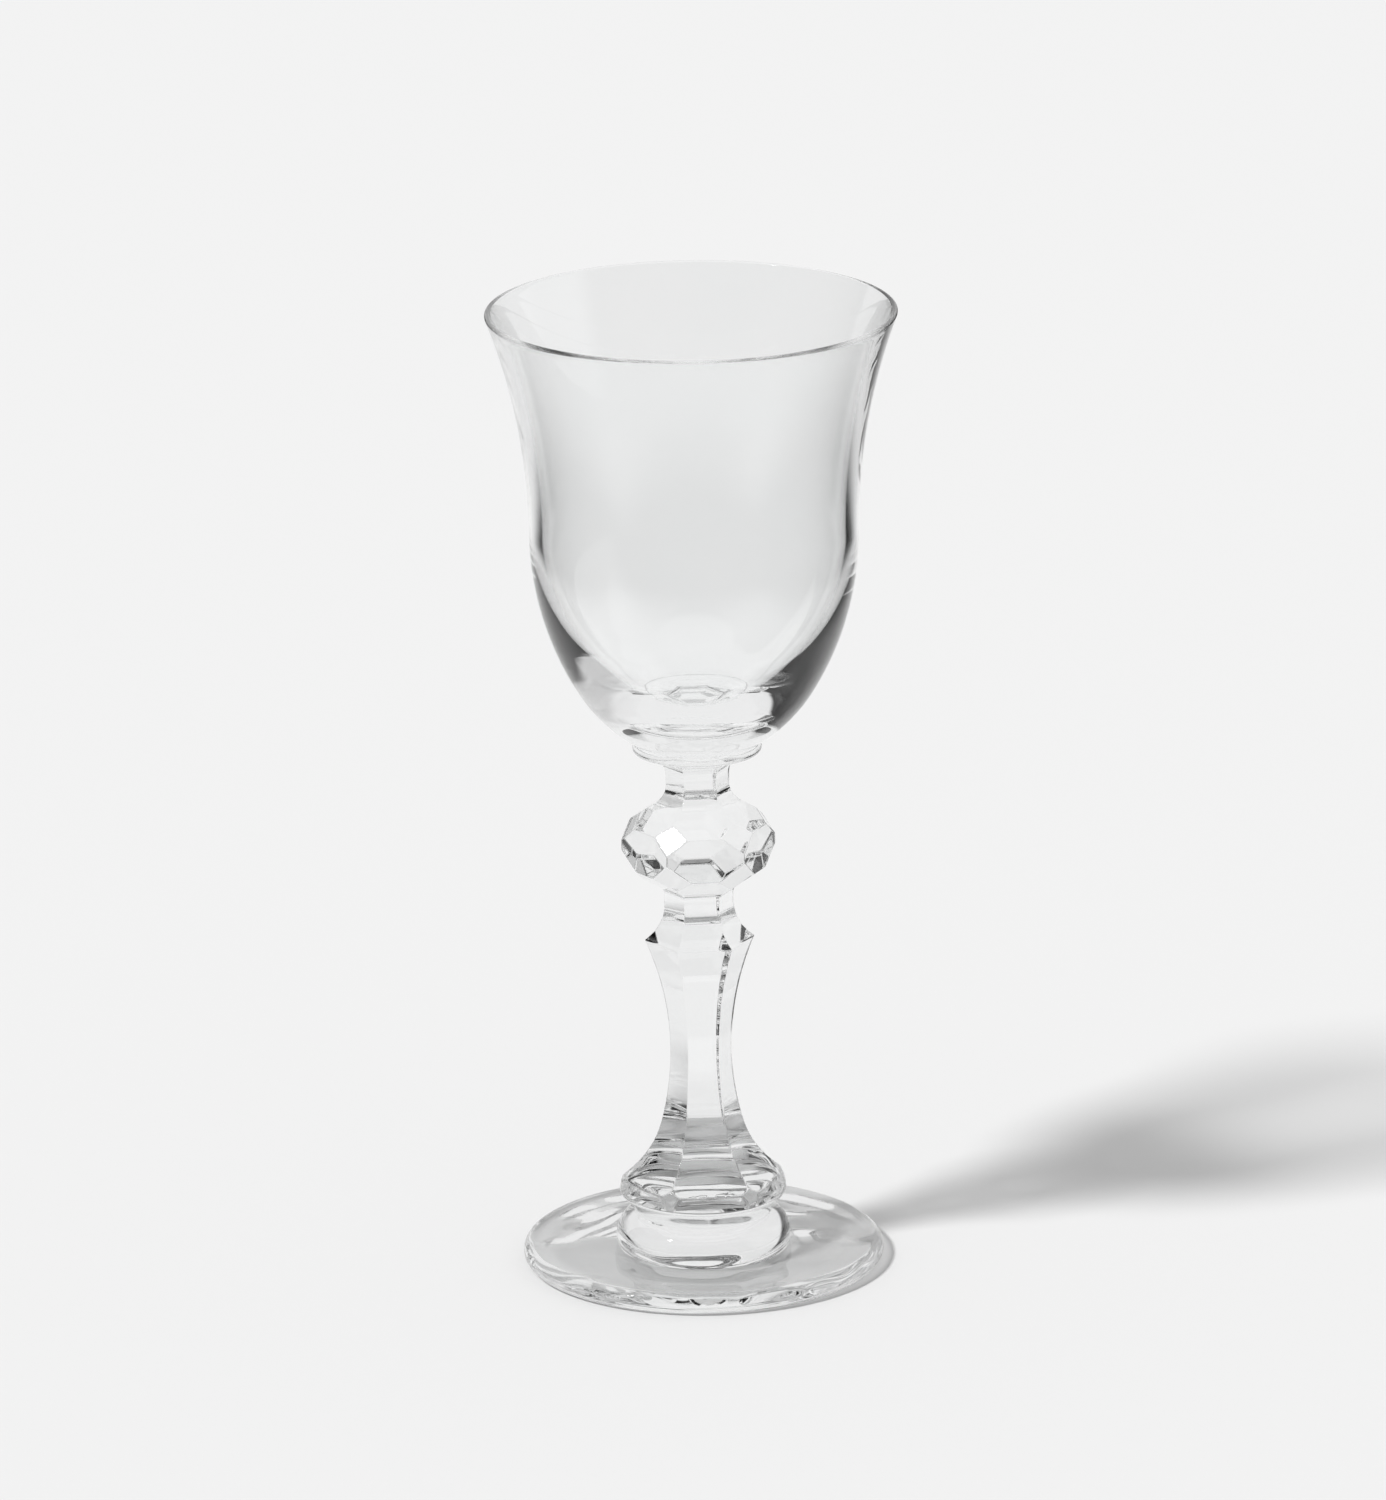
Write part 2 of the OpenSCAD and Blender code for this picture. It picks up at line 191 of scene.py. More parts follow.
def crystal(name, shade_through, shade_edge, thick_shade=1.0, thick_z=(0.0, 1.0), **skin):
    """Clear crystal for one piece. Rays from lamps pass it straight, dimmed from shade_through
    where they meet the glass square on to shade_edge where they graze it, and once more by
    thick_shade below the first height of thick_z in mm, which eases off by the second."""
    material = bpy.data.materials.new(name)
    material.use_nodes = True
    nodes, links = material.node_tree.nodes, material.node_tree.links
    glass = nodes["Principled BSDF"]
    glass.inputs["Transmission Weight"].default_value = 1.0
    glass.inputs["IOR"].default_value = CRYSTAL_IOR
    place = nodes.new("ShaderNodeTexCoord")
    surface = nodes.new("ShaderNodeGroup")
    surface.node_tree = crystal_skin
    for socket, value in skin.items():
        surface.inputs[socket.replace("_", " ").title()].default_value = value
    links.new(place.outputs["Object"], surface.inputs["Vector"])
    links.new(surface.outputs["Color"], glass.inputs["Base Color"])
    links.new(surface.outputs["Roughness"], glass.inputs["Roughness"])
    links.new(surface.outputs["Normal"], glass.inputs["Normal"])

    facing = nodes.new("ShaderNodeLayerWeight")
    dimmed = nodes.new("ShaderNodeMapRange")
    dimmed.inputs["To Min"].default_value = shade_through
    dimmed.inputs["To Max"].default_value = shade_edge
    height = nodes.new("ShaderNodeSeparateXYZ")
    thinner = nodes.new("ShaderNodeMapRange")
    thinner.inputs["From Min"].default_value = thick_z[0] * MM
    thinner.inputs["From Max"].default_value = thick_z[1] * MM
    thinner.inputs["To Min"].default_value = thick_shade
    shade = nodes.new("ShaderNodeMath")
    shade.operation = "MULTIPLY"
    clear = nodes.new("ShaderNodeBsdfTransparent")
    path = nodes.new("ShaderNodeLightPath")
    mix = nodes.new("ShaderNodeMixShader")
    links.new(facing.outputs["Facing"], dimmed.inputs["Value"])
    links.new(place.outputs["Object"], height.inputs[0])
    links.new(height.outputs["Z"], thinner.inputs["Value"])
    links.new(dimmed.outputs[0], shade.inputs[0])
    links.new(thinner.outputs[0], shade.inputs[1])
    links.new(shade.outputs[0], clear.inputs["Color"])
    links.new(path.outputs["Is Shadow Ray"], mix.inputs[0])
    links.new(glass.outputs[0], mix.inputs[1])
    links.new(clear.outputs[0], mix.inputs[2])
    links.new(mix.outputs[0], nodes["Material Output"].inputs["Surface"])
    return material


# Two gathers that fuse keep no surface between them, so their joint faces let all light by.
fused_joint = bpy.data.materials.new("fused_joint")
fused_joint.use_nodes = True
joint_nodes = fused_joint.node_tree.nodes
joint_nodes.remove(joint_nodes["Principled BSDF"])
joint_clear = joint_nodes.new("ShaderNodeBsdfTransparent")
fused_joint.node_tree.links.new(
    joint_clear.outputs[0], joint_nodes["Material Output"].inputs["Surface"]
)


def glass_piece(name, radius, height, turns, on_joint, material):
    """Closed mesh that stands for the CAD node of the same name. Rows run from the lower pole to
    the upper one and columns run round the axis: x is radius times the cosine of the turn, y is
    radius times its sine, and z is height. Steps that lie on a joint get the joint's material."""
    rows, columns = radius.shape
    co = np.stack([radius * np.cos(turns), radius * np.sin(turns), height], -1).reshape(-1, 3)
    index = np.arange(rows * columns).reshape(rows, columns)
    beside = np.roll(index, -1, axis=1)
    faces = np.stack([index[:-1], beside[:-1], beside[1:], index[1:]], -1).reshape(-1, 4)
    mesh = bpy.data.meshes.new(name + "_glass")
    mesh.from_pydata((co * MM).tolist(), [], faces.tolist())
    mesh.materials.append(material)
    mesh.materials.append(fused_joint)
    mesh.polygons.foreach_set("material_index", np.repeat(on_joint, columns).astype(np.int32))
    shaped = bmesh.new()
    shaped.from_mesh(mesh)
    bmesh.ops.remove_doubles(shaped, verts=shaped.verts, dist=MERGE_MM * MM)
    shaped.to_mesh(mesh)
    shaped.free()
    mesh.polygons.foreach_set("use_smooth", np.ones(len(mesh.polygons), bool))
    mesh.set_sharp_from_angle(angle=SHARP_EDGE)
    piece = bpy.data.objects.new(name + "_glass", mesh)
    bpy.context.scene.collection.objects.link(piece)
    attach(piece, "root")
    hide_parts(name)


def turned_piece(name, points, on_joint, material):
    """A round piece: its outline turned about the upright axis, the same at every turn."""
    turns = np.linspace(0, 2 * np.pi, ROUND_COLUMNS, endpoint=False)
    every = np.ones(ROUND_COLUMNS)
    glass_piece(name, points[:, :1] * every, points[:, 1:] * every, turns, on_joint, material)


foot_flat_r = FOOT_R - FOOT_EDGE_R
dome_r = arc_radius(FOOT_HOLLOW_R, FOOT_HOLLOW_DEPTH)
dome_turn = math.degrees(math.asin(FOOT_HOLLOW_R / dome_r))
foot_points, foot_on_joint = outline(
    (False, arc((0, FOOT_HOLLOW_DEPTH - dome_r), dome_r, 90, 90 - dome_turn, steps=24)),
    (False, line((FOOT_HOLLOW_R + FOOT_HOLLOW_ROUND, 0), (foot_flat_r, 0), steps=4)),
    (False, arc((foot_flat_r, FOOT_EDGE_R), FOOT_EDGE_R, -FOOT_EDGE_TURN, FOOT_EDGE_TURN, steps=28)),
    (False, line((foot_flat_r, 2 * FOOT_EDGE_R), (FOOT_JOINT_R, FOOT_TOP_Z), steps=20)),
    (True, line((FOOT_JOINT_R, FOOT_TOP_Z), (0, FOOT_TOP_Z), steps=2)),
)
turned_piece(
    "foot",
    foot_points,
    foot_on_joint,
    crystal(
        "foot_crystal",
        shade_through=0.9,
        shade_edge=0.02,
        wave_size=60.0,
        wave_height=1.8,
        ring_height=0.0,
        wear=0.05,
    ),
)


# Basal knop
# A plump round button of clear crystal, made from a gather that is dropped on the foot while
# both are soft. Its side is blown-glass round, and a short neck takes the flange above it.

BASAL_H = 7.5
BASAL_NECK_R = 9.9
BASAL_BELLY_Z = FOOT_TOP_Z + BASAL_BELLY_H
FLANGE_Z = FOOT_TOP_Z + BASAL_H

basal_start = -math.degrees(math.asin(BASAL_BELLY_H / BASAL_CURVE_R))
basal_end = math.degrees(math.acos((BASAL_NECK_R - BASAL_CORE_R) / BASAL_CURVE_R))
basal_side = arc((BASAL_CORE_R, BASAL_BELLY_Z), BASAL_CURVE_R, basal_start, basal_end, steps=36)
basal_points, basal_on_joint = outline(
    (True, line((0, FOOT_TOP_Z), basal_side[0], steps=2)),
    (False, basal_side),
    (False, line(basal_side[-1], (BASAL_NECK_R, FLANGE_Z), steps=8)[1:]),
    (True, line((BASAL_NECK_R, FLANGE_Z), (0, FLANGE_Z), steps=2)),
)
turned_piece(
    "basal_knop",
    basal_points,
    basal_on_joint,
    crystal(
        "basal_knop_crystal",
        shade_through=0.7,
        shade_edge=0.05,
        wave_size=200.0,
        wave_height=0.02,
        ring_height=0.0,
        wear=0.04,
    ),
)


# Baluster
# The main length of the stem, a drawn shank of clear crystal with a round flange at its foot.
# Six long hollow facets are ground into it on a wheel and polished. They run out in scallops
# over the flange, and a second, tighter cut above the shoulder leads into the lower neck.

FACETS = 6
HALF_FACET = 180.0 / FACETS
CORNER_COLUMNS = 26
CUT_EDGE = 0.14
# Rows of the mesh crowd towards each crease, so that its eased edge is a few rows wide
CREASE_REACH = 0.3
CREASE_CLEAR = 0.4
CREASE_ROWS = 6
CREASE_CLOSENESS = 1.5
CREASE_STEPS = CREASE_REACH * (np.arange(1, CREASE_ROWS + 1) / CREASE_ROWS) ** CREASE_CLOSENESS

FLANGE_R = 11.9
FLANGE_H = 2.0
FLANGE_EDGE_R = 0.8
FLANGE_SIDE_R = 4.6
SKIRT_H = 8.7
SHAFT_A = 3.85
SHAFT_LOWER_H = 11.0
SHAFT_UPPER_H = 16.5
SHOULDER_A = 6.83
SHOULDER_COVE_H = 5.0
LOWER_NECK_A = 4.35
JOINT_NECK_H = 0.8
SCALLOP_ROUNDS = 40

FLANGE_WIDEST_Z = FLANGE_Z + FLANGE_EDGE_R
FLANGE_CORE_R = FLANGE_R - FLANGE_SIDE_R
SHANK_R = FLANGE_R - FLANGE_SIDE_R / 2
SCALLOP_Z = FLANGE_Z + FLANGE_H
SKIRT_TOP_Z = SCALLOP_Z + SKIRT_H
SHAFT_Z = SKIRT_TOP_Z + SHAFT_LOWER_H
SHOULDER_Z = SHAFT_Z + SHAFT_UPPER_H
SHOULDER_TOP_Z = SHOULDER_Z + SHOULDER_COVE_H
KNOP_Z = SHOULDER_TOP_Z + JOINT_NECK_H


def chord_radius(chord, way):
    """Radius of an arc that spans a chord and starts square to a unit vector: the chord's square
    over twice its share along that vector."""
    return np.dot(chord, chord) / (2 * np.dot(chord, way))


# Each wheel cut is an arc: the distance of its middle from the axis, its height and its radius
shaft_reach = arc_radius(SHAFT_UPPER_H, SHOULDER_A - SHAFT_A)
SHAFT_WHEEL = (SHAFT_A + shaft_reach, SHAFT_Z, shaft_reach)
shoulder_reach = arc_radius(SHOULDER_COVE_H, SHOULDER_A - LOWER_NECK_A)
SHOULDER_WHEEL = (LOWER_NECK_A + shoulder_reach, SHOULDER_TOP_Z, shoulder_reach)

# The skirt's wheel takes over from the shaft's at a tangent, and comes out at the scallop
skirt_way = np.array([math.sqrt(shaft_reach**2 - SHAFT_LOWER_H**2), SHAFT_LOWER_H]) / shaft_reach
skirt_top = np.array([SHAFT_WHEEL[0], SHAFT_Z]) - shaft_reach * skirt_way
scallop_x = FLANGE_CORE_R + math.sqrt(FLANGE_SIDE_R**2 - (SCALLOP_Z - FLANGE_WIDEST_Z) ** 2)
skirt_reach = chord_radius(np.array([scallop_x, SCALLOP_Z]) - skirt_top, skirt_way)
SKIRT_WHEEL = (*(skirt_top + skirt_reach * skirt_way), skirt_reach)


def facet_turns():
    """Turns round the axis in radians, counted from -Y, close together at the corners between
    facets: each corner's turn plus and minus half a facet times the square of an even share."""
    steps = HALF_FACET * np.linspace(0, 1, CORNER_COLUMNS) ** 2
    half = np.concatenate([-steps[:0:-1], steps[:-1]])
    corners = HALF_FACET * (1 + 2 * np.arange(FACETS))
    return np.radians((corners[:, None] + half).ravel())


stem_turns = facet_turns()
# Angle of each column from the middle of its own facet, and from its nearest corner
half_facet = math.radians(HALF_FACET)
from_middle = np.abs((stem_turns + half_facet) % (2 * half_facet) - half_facet)
from_corner = half_facet - from_middle


def softer_least(a, b, width):
    """The lesser of a and b, eased over a short width where the two cross, as polishing eases a
    ground edge: the lesser minus the width times a quarter of the squared share of overlap."""
    share = np.clip(1 - np.abs(a - b) / width, 0, 1)
    return np.minimum(a, b) - share**2 * width / 4


def wheel(cut, height):
    """Distance from the axis to a hollow facet at a height: the wheel's middle distance minus
    its half chord there, and far out where the wheel doesn't reach."""
    middle, level, reach = cut
    chord = reach**2 - (height - level) ** 2
    return np.where(chord > 0, middle - np.sqrt(np.clip(chord, 0, None)), middle)


def cut_radius(facet):
    """Radius of a six-sided section at each column, from the distance of its facets to the axis:
    that distance over the cosine of the angle from the facet's middle, eased at the corners."""
    own = facet / np.cos(from_middle)
    next_one = facet / np.cos(2 * half_facet - from_middle)
    return softer_least(own, next_one, CUT_EDGE)


def rows_between(low, high, steps):
    """Heights at every column, in even steps from one height to another, both ends included."""
    share = np.linspace(0, 1, steps + 1)[:, None]
    every = np.ones(len(stem_turns))
    return low * every * (1 - share) + high * every * share


def rows_past(crease, side):
    """Heights at every column that close in on a crease from below, or leave it upwards."""
    return crease + side * (CREASE_STEPS[::-1, None] if side < 0 else CREASE_STEPS[:, None])


def baluster_facet(height):
    """Distance from the axis to the facets of the baluster at a height: the lesser of the cut
    along its side and the one above the shoulder, and the straight neck over that."""
    side = np.where(height < SKIRT_TOP_Z, wheel(SKIRT_WHEEL, height), wheel(SHAFT_WHEEL, height))
    above = np.where(height < SHOULDER_TOP_Z, wheel(SHOULDER_WHEEL, height), LOWER_NECK_A)
    return softer_least(side, above, 2 * CUT_EDGE)


def flange_side(height):
    """Distance from the axis to the round glass before it is cut: the flange's rounded side, its
    middle plus the root of its squared radius less the squared rise, and the shank above it."""
    chord = FLANGE_SIDE_R**2 - (height - FLANGE_WIDEST_Z) ** 2
    return np.maximum(FLANGE_CORE_R + np.sqrt(np.clip(chord, 0, None)), SHANK_R)


every_column = np.ones(len(stem_turns))
# Where the skirt's facets run out over the flange: each round draws the height closer
scallop = SCALLOP_Z * every_column
for _ in range(SCALLOP_ROUNDS):
    reach = SKIRT_WHEEL[0] - flange_side(scallop) * np.cos(from_middle)
    scallop = SKIRT_WHEEL[1] - np.sqrt(SKIRT_WHEEL[2] ** 2 - reach**2)
shoulder = SHOULDER_Z * every_column
flange_edge = arc((FLANGE_R - FLANGE_EDGE_R, FLANGE_WIDEST_Z), FLANGE_EDGE_R, -90, 0, steps=10)
baluster_heights = np.concatenate([
    rows_between(FLANGE_WIDEST_Z + CUT_EDGE, scallop - CREASE_CLEAR, steps=5),
    rows_past(scallop, -1),
    scallop[None],
    rows_past(scallop, 1),
    rows_between(scallop + CREASE_CLEAR, SKIRT_TOP_Z, steps=26),
    rows_between(SKIRT_TOP_Z, SHOULDER_Z - CREASE_CLEAR, steps=40)[1:],
    rows_past(shoulder, -1),
    shoulder[None],
    rows_past(shoulder, 1),
    rows_between(SHOULDER_Z + CREASE_CLEAR, SHOULDER_TOP_Z, steps=16),
    rows_between(SHOULDER_TOP_Z, KNOP_Z, steps=2)[1:],
])
baluster_cut = softer_least(
    cut_radius(baluster_facet(baluster_heights)), flange_side(baluster_heights), CUT_EDGE
)
flange_rows = np.concatenate([[[0, FLANGE_Z], [BASAL_NECK_R, FLANGE_Z]], flange_edge])
baluster_radius = np.concatenate([
    flange_rows[:, :1] * every_column,
    baluster_cut,
    baluster_cut[-1:] * 0,
])
baluster_height = np.concatenate([
    flange_rows[:, 1:] * every_column,
    baluster_heights,
    baluster_heights[-1:],
])
baluster_on_joint = np.zeros(len(baluster_radius) - 1, bool)
baluster_on_joint[[0, -1]] = True
glass_piece(
    "baluster",
    baluster_radius,
    baluster_height,
    stem_turns - np.pi / 2,
    baluster_on_joint,
    crystal(
        "baluster_crystal",
        shade_through=0.85,
        shade_edge=0.1,
        wave_size=240.0,
        wave_height=0.006,
        ring_size=700.0,
        ring_height=0.004,
        wear=0.02,
    ),
)


# Knop
# The ornament of the stem, a ball of clear crystal that is wheel-cut flat all round: six belt
# facets, six leaning facets above and six below them, and two diamonds on every corner.

BELT_A = 9.53
BELT_H = 6.34
BELT_LOW_H = 6.0
BELT_EDGE_HALF = 0.725
BELT_EDGE_LIFT = 0.13
DIAMOND_LEAN = math.radians(34.4)
CROWN_LEAN = math.radians(55.4)
PAVILION_LEAN = math.radians(54.6)
CROWN_COVE_R = 3.0
PAVILION_COVE_R = 0.8
UPPER_NECK_A = 3.95
KNOP_HIGH_H = 7.03

BELT_LOW_Z = SHOULDER_TOP_Z + BELT_LOW_H
BELT_TOP_Z = BELT_LOW_Z + BELT_H
BELT_EDGE_Z = BELT_LOW_Z + BELT_H / 2 + BELT_EDGE_LIFT
BELT_CORNER_R = BELT_A / math.cos(half_facet)
COVE_Z = BELT_TOP_Z + KNOP_HIGH_H
MERESE_Z = COVE_Z - JOINT_NECK_H
DIAMOND_SLOPE = math.tan(DIAMOND_LEAN)
CROWN_SLOPE = math.tan(CROWN_LEAN)
PAVILION_SLOPE = math.tan(PAVILION_LEAN)

crown_run = CROWN_COVE_R * math.tan(CROWN_LEAN / 2)
crown_corner_z = BELT_TOP_Z + (BELT_A - UPPER_NECK_A) / CROWN_SLOPE
KNOP_HEAD_Z = crown_corner_z + crown_run
CROWN_COVE_Z = crown_corner_z - crown_run * math.cos(CROWN_LEAN)
pavilion_run = PAVILION_COVE_R * math.tan(PAVILION_LEAN / 2)
pavilion_corner_z = BELT_LOW_Z - (BELT_A - LOWER_NECK_A) / PAVILION_SLOPE
KNOP_FOOT_Z = pavilion_corner_z - pavilion_run
PAVILION_COVE_Z = pavilion_corner_z + pavilion_run * math.cos(PAVILION_LEAN)


def knop_facet(height):
    """Distance from the axis to the six facets at a height: the least of the belt and the two
    slopes, which are the belt less the height past it times their tangent. Each cove into a neck
    is the neck plus its radius, less the root of its squared radius less the squared drop."""
    crown = BELT_A - (height - BELT_TOP_Z) * CROWN_SLOPE
    pavilion = BELT_A - (BELT_LOW_Z - height) * PAVILION_SLOPE
    facet = softer_least(softer_least(crown, pavilion, CUT_EDGE), BELT_A, CUT_EDGE)
    drop = np.clip(KNOP_HEAD_Z - height, 0, CROWN_COVE_R)
    crown_cove = UPPER_NECK_A + CROWN_COVE_R - np.sqrt(CROWN_COVE_R**2 - drop**2)
    rise = np.clip(height - KNOP_FOOT_Z, 0, PAVILION_COVE_R)
    pavilion_cove = LOWER_NECK_A + PAVILION_COVE_R - np.sqrt(PAVILION_COVE_R**2 - rise**2)
    facet = np.where(height > CROWN_COVE_Z, crown_cove, facet)
    return np.where(height < PAVILION_COVE_Z, pavilion_cove, facet)


def diamond_reach(height):
    """Distance from the axis to the diamond facets on the corners: the belt's corner less the
    height past its upright edge times their tangent, and far out along that edge, where no
    diamond is cut."""
    past = np.abs(height - BELT_EDGE_Z) - BELT_EDGE_HALF
    return np.where(past > -CUT_EDGE, BELT_CORNER_R - past * DIAMOND_SLOPE, 2 * BELT_CORNER_R)


def diamond_creases(side, belt_end, slope):
    """Heights at every column where the belt ends and where the slope begins, on one side. The
    diamond lies between them: each is where its plane meets the belt's or the slope's, worked
    out from their distances over the cosines of the column's angles, and never inside the other."""
    c_mid, c_corner = np.cos(from_middle), np.cos(from_corner)
    edge = BELT_EDGE_Z + side * BELT_EDGE_HALF
    belt = edge + side * (BELT_CORNER_R - BELT_A * c_corner / c_mid) / DIAMOND_SLOPE
    steep = slope * c_corner - DIAMOND_SLOPE * c_mid
    lean = (BELT_A + side * belt_end * slope) * c_corner
    lean -= (BELT_CORNER_R + side * edge * DIAMOND_SLOPE) * c_mid
    slant = side * lean / steep
    if side > 0:
        return np.minimum(belt, belt_end), np.maximum(slant, belt_end)
    return np.maximum(belt, belt_end), np.minimum(slant, belt_end)


belt_top, crown_start = diamond_creases(1, BELT_TOP_Z, CROWN_SLOPE)
belt_foot, pavilion_end = diamond_creases(-1, BELT_LOW_Z, PAVILION_SLOPE)


def rows_across(low, high, steps):
    """Heights at every column from one crease to the next, close together near both: crease
    steps up to half the gap, with even steps between. Where the creases meet, all are one."""
    near = np.minimum(CREASE_STEPS[:, None], (high - low) / 2)
    between = rows_between(low + near[-1], high - near[-1], steps)[1:-1]
    return np.concatenate([low[None], low + near, between, high - near[::-1]])


knop_heights = np.concatenate([
    rows_between(KNOP_Z, KNOP_FOOT_Z, steps=3),
    rows_between(KNOP_FOOT_Z, PAVILION_COVE_Z, steps=8)[1:],
    rows_between(PAVILION_COVE_Z, pavilion_end - CREASE_CLEAR, steps=7)[1:],
    rows_past(pavilion_end, -1),
    rows_across(pavilion_end, belt_foot, steps=6),
    rows_across(belt_foot, belt_top, steps=8),
    rows_across(belt_top, crown_start, steps=6),
    crown_start[None],
    rows_past(crown_start, 1),
    rows_between(crown_start + CREASE_CLEAR, CROWN_COVE_Z, steps=6),
    rows_between(CROWN_COVE_Z, KNOP_HEAD_Z, steps=14)[1:],
    rows_between(KNOP_HEAD_Z, MERESE_Z, steps=3)[1:],
])
knop_cut = softer_least(
    cut_radius(knop_facet(knop_heights)),
    diamond_reach(knop_heights) / np.cos(from_corner),
    CUT_EDGE,
)
knop_on_joint = np.zeros(len(knop_cut) + 1, bool)
knop_on_joint[[0, -1]] = True
glass_piece(
    "knop",
    np.concatenate([knop_cut[:1] * 0, knop_cut, knop_cut[-1:] * 0]),
    np.concatenate([knop_heights[:1], knop_heights, knop_heights[-1:]]),
    stem_turns - np.pi / 2,
    knop_on_joint,
    crystal(
        "knop_crystal",
        shade_through=0.75,
        shade_edge=0.1,
        wave_size=260.0,
        wave_height=0.004,
        ring_size=800.0,
        ring_height=0.001,
        wear=0.02,
    ),
)


# Merese
# A thin round wafer of crystal that joins the bowl to the stem. It is pinched flat while hot,
# and the six facets of the neck are carried up into its underside by one round cove.

COVE_R = 3.4
WAFER_R = 9.2
WAFER_T = 1.23
SEAT_R = 8.5
WAFER_EDGE_R = WAFER_T / 2
WAFER_Z = COVE_Z + COVE_R
BOWL_Z = WAFER_Z + WAFER_T

cove = arc((UPPER_NECK_A + COVE_R, COVE_Z), COVE_R, 180, 90, steps=18)
neck = line((UPPER_NECK_A, MERESE_Z), (UPPER_NECK_A, COVE_Z), steps=2)[:-1]
hex_rows = np.concatenate([neck, cove])
round_rows = np.concatenate([
    arc((WAFER_R - WAFER_EDGE_R, WAFER_Z + WAFER_EDGE_R), WAFER_EDGE_R, -90, 90, steps=20),
    [[SEAT_R, BOWL_Z], [0, BOWL_Z]],
])
merese_cut = cut_radius(hex_rows[:, :1] * every_column)
merese_radius = np.concatenate([merese_cut[:1] * 0, merese_cut, round_rows[:, :1] * every_column])
merese_height = np.concatenate([[MERESE_Z], hex_rows[:, 1], round_rows[:, 1]])
merese_on_joint = np.zeros(len(merese_radius) - 1, bool)
merese_on_joint[[0, -1]] = True
glass_piece(
    "merese",
    merese_radius,
    merese_height[:, None] * every_column,
    stem_turns - np.pi / 2,
    merese_on_joint,
    crystal(
        "merese_crystal",
        shade_through=0.75,
        shade_edge=0.15,
        wave_size=240.0,
        wave_height=0.006,
        ring_height=0.0,
        wear=0.02,
    ),
)


# Bowl
# A bell of clear crystal, blown in a mould and turned, thick at the base and thin at the lip,
# which is cracked off, ground level and melted round. It is stuck hot on the merese.

RIM_R = 28.9
BOWL_H = 63.0
LIP_R = 0.4
WAIST_R = 23.2
WAIST_RISE = 31.0
SIDE_CURVE_R = 44.0
SIDE_TURN = 31.0
WALL_T = 1.8
INNER_CURVE_R = 31.0
CORNER_CURVE_R = 8.0
FLOOR_CURVE_R = 34.0
BASE_T = 5.6


def turn_to(start, end):
    """Turn in degrees of the way from one point to another: the arctangent of its rise over its
    run."""
    return math.degrees(math.atan2(end[1] - start[1], end[0] - start[0]))


def tangent_middle(first, from_first, second, from_second):
    """Point at one distance from a first point and another from a second, away from the axis:
    along their line by the first distance squared, less the second squared, plus the gap squared,
    over twice the gap, and aside by the rest of the first distance."""
    gap = math.dist(first, second)
    along = (from_first**2 - from_second**2 + gap**2) / (2 * gap)
    aside = math.sqrt(from_first**2 - along**2)
    way = (second - first) / gap
    return first + along * way + aside * np.array([way[1], -way[0]])


def flare_radius(run, rise, lip):
    """Radius of a flare that leaves the upright waist and ends at a tangent on the lip's round,
    whose middle lies run outwards and rise above: the sum of their squares less the lip's, over
    twice the run plus the lip, which is below zero for the inner wall."""
    return (run**2 + rise**2 - lip**2) / (2 * (run + lip))


# Heights are above the seat. Outside, the belly runs up into the side, the waist and the flare
side_turn = math.radians(SIDE_TURN)
side_way = np.array([math.cos(side_turn), -math.sin(side_turn)])
side_mid = np.array([WAIST_R - SIDE_CURVE_R, WAIST_RISE])
belly_top = side_mid + SIDE_CURVE_R * side_way
belly_reach = chord_radius(belly_top - (SEAT_R, 0), side_way)
belly_mid = belly_top - belly_reach * side_way
lip_mid = np.array([RIM_R - LIP_R, BOWL_H - LIP_R])
flare_rise = lip_mid[1] - WAIST_RISE
outer_flare = flare_radius(lip_mid[0] - WAIST_R, flare_rise, LIP_R)
outer_mid = np.array([WAIST_R + outer_flare, WAIST_RISE])
outer_turn = turn_to(outer_mid, lip_mid)

# Inside, the flare runs down into the side, then a tighter turn into the shallow cavity floor
INNER_R = WAIST_R - WALL_T
inner_flare = flare_radius(lip_mid[0] - INNER_R, flare_rise, -LIP_R)
inner_flare_mid = np.array([INNER_R + inner_flare, WAIST_RISE])
inner_turn = turn_to(inner_flare_mid, lip_mid)
inner_mid = np.array([INNER_R - INNER_CURVE_R, WAIST_RISE])
floor_mid = np.array([0, BASE_T + FLOOR_CURVE_R])
corner_mid = tangent_middle(
    inner_mid, INNER_CURVE_R - CORNER_CURVE_R, floor_mid, FLOOR_CURVE_R - CORNER_CURVE_R
)
corner_turn, floor_turn = turn_to(inner_mid, corner_mid), turn_to(floor_mid, corner_mid)

bowl_points, bowl_on_joint = outline(
    (True, line((0, 0), (SEAT_R, 0), steps=2)),
    (False, arc(belly_mid, belly_reach, turn_to(belly_mid, (SEAT_R, 0)), -SIDE_TURN, steps=30)[1:]),
    (False, arc(side_mid, SIDE_CURVE_R, -SIDE_TURN, 0, steps=34)[1:]),
    (False, arc(outer_mid, outer_flare, 180, outer_turn, steps=36)[1:]),
    (False, arc(lip_mid, LIP_R, outer_turn - 180, inner_turn, steps=20)[1:]),
    (False, arc(inner_flare_mid, inner_flare, inner_turn, 180, steps=36)[1:]),
    (False, arc(inner_mid, INNER_CURVE_R, 0, corner_turn, steps=40)[1:]),
    (False, arc(corner_mid, CORNER_CURVE_R, corner_turn, floor_turn, steps=30)[1:]),
    (False, arc(floor_mid, FLOOR_CURVE_R, floor_turn, -90, steps=20)[1:]),
)
